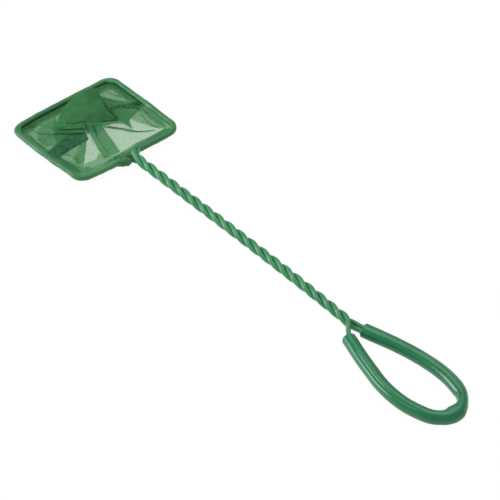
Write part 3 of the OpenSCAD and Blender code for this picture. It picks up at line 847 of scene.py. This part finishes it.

# Under the far sides' casing the gathered mesh is bunched up. It is drawn in the dark mesh, whose colour
# paints the shade under the casing as a dark line
far_flat, far_right = far_round
bunch_run = (np.arange(len(far_flat)) * hem_step)[None]
bunch_angle = np.radians(np.linspace(22, -75, 9))[:, None]
bunch_wave = 2 * np.pi * bunch_run / 1.9 + 1.3 * np.sin(bunch_run / 5)
bunch_r = hem_r + 0.16 + 0.10 * np.sin(bunch_wave) * np.cos(bunch_angle)
bunch_flat = far_flat[None] + far_right[None] * (bunch_r * np.cos(bunch_angle))[..., None]
bunch = np.concatenate([bunch_flat, (wire_z + bunch_r * np.sin(bunch_angle))[..., None]], 2)
bunch_foot = bunch[-1:] + np.concatenate([far_right * 1.2, np.full((len(far_flat), 1), -1.1)], 1)[None]
gathers = mesh_cloth("far_hem_gathers_and_shade", [(np.concatenate([bunch, bunch_foot]), False, 33)], painted_shade_mesh)

band_left = curve([
    (-40.5, 0.5, 3.2), (-33.7, -3.7, 3.0), (-26.5, -6.3, 3.0), (-16.5, -10, 3.0), (-8, -12.5, 3.0)], 70)
band_middle = curve([
    (-38, 3.5, 3.4), (-31, -1.1, 3.4), (-24, -4, 3.4), (-14.5, -7.1, 3.4), (-7, -9, 3.3)], 70)
band_right = curve([
    (-36, 7, 3.2), (-29.5, 4.6, 3.0), (-23.5, 2.8, 3.0), (-15.2, 0.6, 3.0), (-6.5, -2, 3.0)], 70)
# Painted shade under the flap: extra loose layers over the band's upper end make it darker.
band_top_shade = rippled(spread(raised(band_left[:24], 0.7), raised(band_right[:24], 0.7), 12), 51, 0.15, 5, 2)
near_left_cover = layer(
    [(-30, -33.5, 2.7), (-18, -33.5, 2.8), (-9, -32, 2.8), (-6, -28, 2.8)],
    [(-28, -9, 2.2), (-22.5, -14, 2.2), (-17.3, -19, 2.2), (-12.3, -23.5, 2.3)],
    50, 34, 53, 0.4, 9, 2.5)
near_left_band = layer(
    [(-27, -16, 2.0), (-23, -20.5, 2.0), (-19.4, -24.5, 2.0), (-14.8, -27.4, 2.1)],
    [(-27.5, -9.4, 1.9), (-22.2, -14.2, 1.9), (-17.1, -19.2, 1.9), (-12.5, -23.6, 2.0)],
    40, 14, 57, 0.2, 6, 2)
near_left_third = layer(
    [(-22, -33.8, 2.4), (-15, -33.5, 2.4), (-8, -31.5, 2.4), (-5, -27, 2.4)],
    [(-19, -27.5, 2.2), (-14.5, -27.8, 2.2), (-10.5, -26.0, 2.2), (-7.5, -22.5, 2.2)],
    40, 16, 67, 0.3, 8, 2.2)
near_centre_cover = layer(
    [(-14, -12, 2.4), (-11.5, -15, 2.4), (-10.8, -18, 2.5), (-11.5, -21, 2.5), (-11, -24, 2.5)],
    [(-5, -7, 2.7), (-5, -11, 2.7), (-5, -17, 2.8), (-5, -23, 2.8), (-6, -28, 2.7)],
    40, 18, 59, 0.25, 7, 2.0)
tongue_a = curve([
    (-41, 16.5, 2.9), (-40, 22.5, 2.8), (-35, 28.8, 2.8), (-31.7, 34, 2.7), (-28.7, 29.5, 2.6),
    (-26.7, 22.6, 2.5), (-24.5, 20, 2.4), (-19, 17.3, 2.2)], 80)
tongue_b = curve([
    (-40.4, 16.1, 2.8), (-37, 16, 2.7), (-33.5, 16, 2.6), (-30.5, 16.1, 2.6), (-28, 16.2, 2.5),
    (-25.5, 16.3, 2.4), (-22, 16.9, 2.2), (-18.8, 17.2, 2.1)], 80)
# A layer under the tongue's left part paints shade there.
tongue_shade = spread(raised(0.85 * tongue_a + 0.15 * tongue_b, -0.6), raised(tongue_b, -0.5), 14)
right_near_cover = layer(
    [(-30.5, 34.5, 3.0), (-20, 35, 2.9), (-11, 33.8, 2.8), (-6, 30.5, 2.8)],
    [(-28.5, 28, 2.2), (-26.6, 22.4, 2.0), (-20, 24.2, 1.8), (-11.5, 27.4, 1.9)],
    50, 26, 61, 0.35, 8, 2.2)
crescent_a = curve([(-35.5, 5.5, 3.0), (-34, 8.5, 2.9), (-32, 12, 2.8), (-29, 16, 2.6)], 40)
crescent_b = curve([(-31.5, 5.5, 2.4), (-30.3, 8.0, 2.3), (-29.5, 11.5, 2.2), (-26, 16, 2.1)], 40)
near_right_front = (near_right[0][58:], near_right[1][58:])
# The left side seam's two edges, which the layer under it follows too
left_band_a = curve([
    (-31.9, -34.6, 3.0), (-34.1, -28.6, 2.8), (-36, -22.1, 2.6), (-36.5, -12.9, 2.5),
    (-34.2, -8.6, 2.5), (-30.9, -6.4, 2.5)], 70)
left_band_b = curve([
    (-25, -34.2, 3.0), (-26.5, -27.4, 2.8), (-27.3, -21.7, 2.6), (-27.5, -15.6, 2.5),
    (-27.8, -11.4, 2.5), (-28.3, -7.8, 2.5)], 70)
left_band_under = flattened(
    left_band_a + np.array([-1.3, 0.3, -0.4]), left_band_b + np.array([0.9, -0.2, -0.4]), 0.5)
join = len(near_left[0])
gap_line = (near_flat[join - 14:join + 38], near_rights[join - 14:join + 38])
near_parts = [
    (flange(gap_line, 49, wire_z + 0.1, 3.2, 2.6), False, 75),
    (flange(gap_line, 59, wire_z - 0.2, 2.8, 3.6), False, 35),
    (tray(near_round, near_target, 7, wire_z - 0.5, 0), False, 41),
    (flange(near_round, 9, wire_z + 0.2, wire_z - 0.4, 4.2), False, 5),
    (flange(near_right_front, 19, wire_z - 0.2, 2.6, 3.4), False, 25),
    (flange(near_right_front, 29, wire_z - 0.5, 1.9, 5.0), False, 65),
    (flange(near_left, 39, wire_z - 0.4, 2.2, 4.4), False, 45),
    (near_left_third, False, 15),
    (left_band_under, True, 22),
    (near_left_cover, False, 70),
    (near_left_band, False, 30),
    (near_centre_cover, False, 20),
    (flattened(band_left, band_right, 0.7), True, 55),
    (band_top_shade, False, 18),
    (raised(band_top_shade, -1.1), False, 63),
    (raised(band_top_shade[:, :14], 0.3), False, 33),
    (flattened(tongue_a, tongue_b, 0.7), True, 33),
    (tongue_shade, False, 66),
    (right_near_cover, False, 81),
    (flattened(crescent_a, crescent_b, 0.6), True, 48),
    (crease(band_middle[::8], 0.45, 0.8), True, 8),
    (crease([
        (-31.2, 6, 1.8), (-27.3, 9.1, 1.6), (-22.8, 12.7, 1.5), (-18.5, 15.1, 1.5), (-13.7, 20.1, 1.5),
        (-9.4, 26.1, 1.8)], 0.5, 0.9), True, 48),
    (crease([(-30, 8, 1.8), (-25, 12, 1.6), (-20, 15.5, 1.6), (-15, 18, 1.6)], 0.4, 0.7), True, 28),
    (crease([(-28, 30, 2.6), (-21, 28, 2.4), (-14, 27.5, 2.3), (-8, 29, 2.6)], 0.45, 0.6), True, 11),
    (crease([(-27, 32, 3.0), (-19, 31, 2.8), (-11, 30.5, 2.8)], 0.4, 0.5), True, 11),
    (crease([(-27, -28, 2.9), (-21, -25, 2.8), (-15, -27, 2.8)], 0.4, 0.5), True, 71),
    (crease([(-24, -21, 2.7), (-18, -24.5, 2.7), (-11, -27.5, 2.8)], 0.4, 0.5), True, 31),
]
near_panel = mesh_cloth("near_panel_mesh", near_parts, net_mesh)
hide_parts("near_bag_panel")

# Folded bottom: the bag's closed end is turned over towards the far side and lies on top, four layers
# thick, with pleats pressed out from under its near edge.
flap_back = curve([
    (-59, 2.5, 5.0), (-60, 7.6, 5.5), (-60.5, 12.5, 6.0), (-60, 16.6, 6.5), (-58.2, 20, 6.7),
    (-56, 21.5, 6.4), (-53.8, 20.2, 6.0)], 90)
flap_edge = curve([
    (-49.7, -12.5, 3.5), (-43.8, -8.3, 4.0), (-40.8, -3.5, 4.2), (-39, 0.2, 4.2), (-35.6, 4.1, 4.2),
    (-32.9, 9.3, 4.0), (-30.4, 13.1, 3.8), (-29.1, 15.7, 3.5)], 90)
flap_left = [(-59, 2.5, 5.0), (-56.4, -3.4, 4.5), (-53.2, -8.5, 4.0), (-49.7, -12.5, 3.5)]
flap_right = [
    (-53.8, 20.2, 6.0), (-50, 18.8, 5.6), (-44.6, 17.4, 5.2), (-39.9, 16.5, 4.8), (-35.6, 16, 4.4),
    (-31.7, 15.7, 4.0), (-29.1, 15.7, 3.5)]
flap = spread(flap_back, flap_edge, 44, flap_left, flap_right)
across = np.sin(np.linspace(0, np.pi, 44))[:, None] * np.sin(np.linspace(0, np.pi, 90))[None]
flap[..., 2] += 0.4 * across
flap = rippled(flap, 71, 0.22, 16, 6)
inner_flap = rippled(raised(flap, -0.85), 73, 0.2, 9, 3)
inner_flap[..., 0] -= 0.5 * np.linspace(0, 1, 44)[:, None]
third_flap = rippled(flap[:, 46:] - np.array([0.6, 0.2, 1.4]), 79, 0.2, 9, 3)


def pleat(line, reach, seed):
    """A pressed fold: its edge follows the line, and it reaches back under the flap by the reach."""
    edge = curve(line, 60)
    back = edge + np.array([-reach, reach * 0.3, 0.5])
    return hairpin(rippled(spread(back, edge, 16), seed, 0.15, 7, 2), 0.8)


pleat_lines = [
    ([(-47.8, -15.5, 3.2), (-43.5, -10.3, 3.2), (-40.3, -5.5, 3.2), (-37.2, -1.0, 3.2)], 4.0),
    ([(-45.8, -18, 2.9), (-41, -12.2, 2.9), (-37.7, -7.5, 2.9), (-34.3, -3.1, 2.9)], 4.5),
    ([(-43.2, -19.6, 2.5), (-38.6, -14.2, 2.5), (-35.2, -9.5, 2.5), (-31.8, -5.2, 2.5)], 5.5),
]
# A narrow doubled strip along the flap's right edge paints the shade of the crevice there.
crevice_shade_a = curve([(-46, 17.6, 4.6), (-40, 16.8, 4.2), (-35, 16.2, 3.8), (-29, 15.9, 3.2)], 40)
crevice_shade_b = curve([(-43, 14.5, 3.8), (-38, 12.5, 3.6), (-34, 11.5, 3.4), (-29.5, 14.5, 3.1)], 40)
# The pocket under the flap's right edge is painted shade: extra layers of mesh, and a strip of the dark mesh,
# make the shaded opening of the fold dark.
pocket_shade_a = curve([
    (-55.2, 20.7, 6.5), (-50.5, 19.4, 6.0), (-45, 17.9, 5.5), (-40, 16.9, 5.0), (-35.6, 16.3, 4.6),
    (-31.7, 15.9, 4.2), (-29.6, 15.7, 3.9)], 60)
pocket_shade_b = curve([
    (-55.1, 20.3, 6.6), (-50.6, 18.5, 6.4), (-45.3, 15.9, 6.1), (-40.6, 13.2, 5.7), (-36.2, 11.6, 5.2),
    (-32.6, 12.0, 4.8), (-30.1, 14.0, 4.3)], 60)
pocket_shade_c = 0.5 * pocket_shade_a + 0.5 * pocket_shade_b
fold_parts = [
    (flattened(pocket_shade_a, pocket_shade_b, 0.4), True, 50),
    (flattened(pocket_shade_c, pocket_shade_b, 0.3), True, 70),
    (hairpin(flap, 0.5), False, 30),
    (hairpin(inner_flap, 0.4), False, 75),
    (hairpin(third_flap, 0.4), False, 10),
    (flattened(crevice_shade_a, crevice_shade_b, 0.5), True, 44),
]
# Two layers beside the left seam band, under the pleats, paint the shade there.
beside_seam_shade = spread(
    curve([(-44.4, -20, 2.7), (-39.0, -14.3, 2.7), (-35.6, -9.7, 2.7), (-32.6, -5.8, 2.7)], 40),
    curve([(-37.0, -24, 2.9), (-36.8, -13.4, 2.8), (-34.0, -8.8, 2.8), (-30.8, -5.6, 2.8)], 40), 12)
fold_parts += [(beside_seam_shade, False, 12), (beside_seam_shade - np.array([0.4, 0, 0.4]), False, 52)]
for k, (line, reach) in enumerate(pleat_lines):
    fold_parts.append((pleat(line, reach, 83 + k), False, 20 + 33 * k))
bag_fold = mesh_cloth("bag_fold_mesh", fold_parts, net_mesh)
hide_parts("bag_fold")

# Side seams and bottom seam: the panels' edges are overlocked together, which makes narrow stiff
# bands. The side ones come in from the hem along the floor, the bottom one lies inside the fold.
right_band_a = curve([
    (-33.4, 35, 3.3), (-35.8, 32.8, 3.2), (-37.2, 29.2, 3.0), (-40.3, 22.8, 2.9), (-41.3, 17.1, 3.0)], 60)
right_band_b = curve([
    (-28.4, 35, 3.3), (-29.6, 31.6, 3.2), (-32.8, 27.6, 3.0), (-38.2, 21.7, 2.8), (-39.1, 16.5, 2.9)], 60)
bottom_a = curve([(-47, -9, 3.6), (-43, -3, 3.9), (-40, 4, 4.2), (-35.5, 12, 3.9)], 60)
bottom_b = bottom_a + np.array([2.2, -0.9, -0.1])
pleat_shade = curve([(-43.4, -20, 2.9), (-38.6, -14.3, 2.9), (-35.2, -9.7, 2.9), (-32.2, -5.8, 2.8)], 40)
pleat_shade_2 = curve([(-44.5, -16.5, 3.6), (-40.8, -12.0, 3.6), (-37.5, -7.5, 3.6), (-35, -4.4, 3.5)], 40)
pleat_back = curve([(-48.5, -15.5, 2.9), (-44, -10.3, 2.9), (-40.5, -5.5, 2.9), (-36.6, -1.5, 2.9)], 40)
left_seam = mesh_cloth("left_seam_band", [
    (flattened(left_band_a, left_band_b, 0.7), True, 15),
], seam_mesh)
right_seam = mesh_cloth("right_seam_band", [
    (flattened(right_band_a, right_band_b, 0.8), True, 15),
], seam_mesh)
# The bottom seam's band is drawn in the dark mesh. The same mesh carries strips that paint shade: the pocket
# under the flap's right edge, the shade along and behind the pleats, and dark creases beside the bands.
bottom_seam_and_shade = mesh_cloth("bottom_seam_and_shade_band", [
    (flattened(bottom_a, bottom_b, 0.6), True, 15),
    (flattened(pocket_shade_a, pocket_shade_c, 0.8), True, 20),
    (crease(pleat_shade, 1.3, 0.6), True, 35),
    (crease(pleat_shade_2, 0.6, 0.4), True, 35),
    (spread(pleat_back, pleat_shade - np.array([0.5, 0, 0.3]), 10), False, 15),
    (crease([
        (-39.2, -2.0, 3.9), (-36.3, -2.6, 3.6), (-33.6, -3.8, 3.2), (-31.0, -5.0, 2.9)], 1.6, 0.5), True, 65),
    (crease([
        (-34.6, 30.8, 3.7), (-33.2, 32.2, 3.7), (-31.6, 33.8, 3.6), (-30.6, 35, 3.4)], 2.6, 0.5), True, 12),
    (crease([
        (-37.6, 3.3, 3.5), (-35.0, 1.5, 3.5), (-32.5, -0.2, 3.5), (-29.5, -1.4, 3.4),
        (-26.0, -3.0, 3.4)], 1.4, 1.0), True, 65),
], painted_shade_mesh)
# Each panel is as wide as half the mouth's edge. Its depth is worked back from the mesh laid here, not
# measured: 42 mm down to the fold, and 17 mm of both panels in the folded bottom
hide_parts("left_side_seam")
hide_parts("right_side_seam")
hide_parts("bag_bottom_seam")

# Joint: the hem's left end is bunched up on the wire's bend, a roll of the same cloth bridges the gap
# behind the strands, and a strap of it is drawn over the wire's cut end.
lump = np.linspace(0, 1, 60)[:, None]
joint_sides = 48
lump_angle = round_angles(joint_sides)[None]
gather_route = curve([
    (0.9, -16.0, wire_z), (1.1, -12.0, wire_z), (1.5, -9, wire_z - 0.1), (2.6, -7, wire_z - 0.1),
    (4.2, -5, wire_z), (5.4, -3.6, wire_z + 0.2)], 60)
gather_r = (1.40 + 0.45 * rise(lump, 0.1, 0.8) - 0.42 * rise(lump, 0.84, 1.0)
            + 0.95 * np.sin(np.pi * lump) ** 1.4
            + 0.12 * np.sin(2 * np.pi * lump * 4.3 + 2.2 * np.sin(lump_angle))
            + 0.10 * np.sin(3 * lump_angle + 9 * lump) * np.sin(np.pi * lump))
gathered = tube("gathered_hem_cloth", gather_route, gather_r, 1.3, hem_cloth, joint_sides)
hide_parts("gathered_hem")
# The tuck over the bunch's far end and the lobe beside it are drawn in the darker hem cloth, as painted
# shade.
tuck_from = 26
tuck_on = lump[tuck_from:]
tuck_r = gather_r[tuck_from:] + 0.16 + 0.16 * np.sin(np.pi * tuck_on) * np.sin(5 * lump_angle + 16 * tuck_on)
tube("gathered_hem_tuck", gather_route[tuck_from:], tuck_r, 1.3, shaded_hem_cloth, joint_sides)
lobe_route = curve([(-2.2, -9.5, 4.2), (-0.6, -6.4, 4.6), (0.8, -3.0, 4.6), (2.4, 0.4, 3.4)], 60)
lobe_r = (1.55 + 0.6 * np.sin(np.pi * lump) + 0.14 * np.sin(29 * lump + 2 * np.sin(lump_angle))
          + 0.14 * np.sin(4 * lump_angle + 9 * lump))
tube("gathered_hem_lobe", lobe_route, lobe_r, 0.3, shaded_hem_cloth, joint_sides)
bridge_route = curve([
    (-1.9, -12.5, 3.4), (-1.5, -8, 3.5), (-1.2, -4, 3.5), (-1.4, 0, 3.9), (-1.8, 3, 3.9),
    (-1.4, 7, 3.9), (-0.3, 9.5, 4.0)], 60)
bridge_r = (1.35 + 0.35 * rise(lump, 0.5, 0.8) + 0.12 * np.sin(31 * lump + 2.5 * np.sin(lump_angle))
            + 0.10 * np.sin(2 * lump_angle + 13 * lump))
bridge = tube("hem_bridge_cloth", bridge_route, bridge_r, 0.3, hem_cloth, joint_sides)
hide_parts("hem_bridge")
strap_route = curve([
    (-1.8, 4.4, wire_z + 0.6), (0.2, 3.0, wire_z + 1.3), (2.4, 1.3, wire_z + 1.1),
    (4.4, 0.4, wire_z + 0.6), (6.0, -0.2, wire_z)], 60)
strap_r = 1.35 + 0.25 * np.sin(np.pi * lump) + 0.08 * np.sin(20 * lump + lump_angle)
tube("joint_strap_cloth", strap_route, strap_r, 0.2, hem_cloth, joint_sides)

# Stitching: a green thread closes the hem along the flange in short stitches, each a bent rod that
# dips into the cloth at both ends.
stitch_len, stitch_gap, thread_r = 1.7, 0.4, 0.14
thread_green = cloth("sewing_thread", (0.020, 0.095, 0.036), (0.036, 0.140, 0.058), 0.6, 900.0)


def stitches(path, height):
    """Stitch grids along a flat path: every pitch a short arc, all worked out at once as arrays of
    stitch by ring by point."""
    dist = run_along(path)
    starts = np.arange(0.5, dist[-1] - stitch_len, stitch_len + stitch_gap)
    t = np.linspace(0, 1, 5)
    s = starts[:, None] + t[None] * stitch_len
    x = np.interp(s, dist, path[:, 0])
    y = np.interp(s, dist, path[:, 1])
    z = height + 0.22 * np.sin(np.pi * t)[None] + 0 * s
    centre = np.stack([x, y, z], -1)
    way = unit(np.gradient(centre, axis=1))
    across = unit(np.cross(np.array([0, 0, 1.0]), way))
    over = np.cross(way, across)
    a = round_angles(6)
    thin = thread_r * np.array([0.35, 0.95, 1, 0.95, 0.35])[None, :, None, None]
    spoke = np.cos(a)[:, None] * across[:, :, None] + np.sin(a)[:, None] * over[:, :, None]
    return centre[:, :, None] + thin * spoke


def stitch_mesh(name, groups, material):
    """One mesh of many capped rods, each a run of rings of the same size."""
    rods = np.concatenate(groups)
    many, rings, sides = rods.shape[:3]
    index = np.arange(many * rings * sides).reshape(many, rings, sides)
    here, there = index[:, :-1], index[:, 1:]
    quads = np.stack([here, np.roll(here, -1, 2), np.roll(there, -1, 2), there], -1)
    caps = index[:, 0, ::-1].tolist() + index[:, -1].tolist()
    mesh = placed_mesh(name, rods, quads.reshape(-1, 4).tolist() + caps)
    return add_piece(name, mesh, material)


def beside(line, reach):
    """The line moved to its right by the reach."""
    return line[0] + line[1] * reach


stitching = stitch_mesh("hem_stitches", [
    stitches(beside(near_left, hem_r + 3.2), wire_z - 0.1),
    stitches(beside(far_round, hem_r + 2.2), wire_z - 0.85),
    stitches(beside(near_right, hem_r + 3.2), wire_z - 0.1),
], thread_green)
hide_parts("hem_thread")
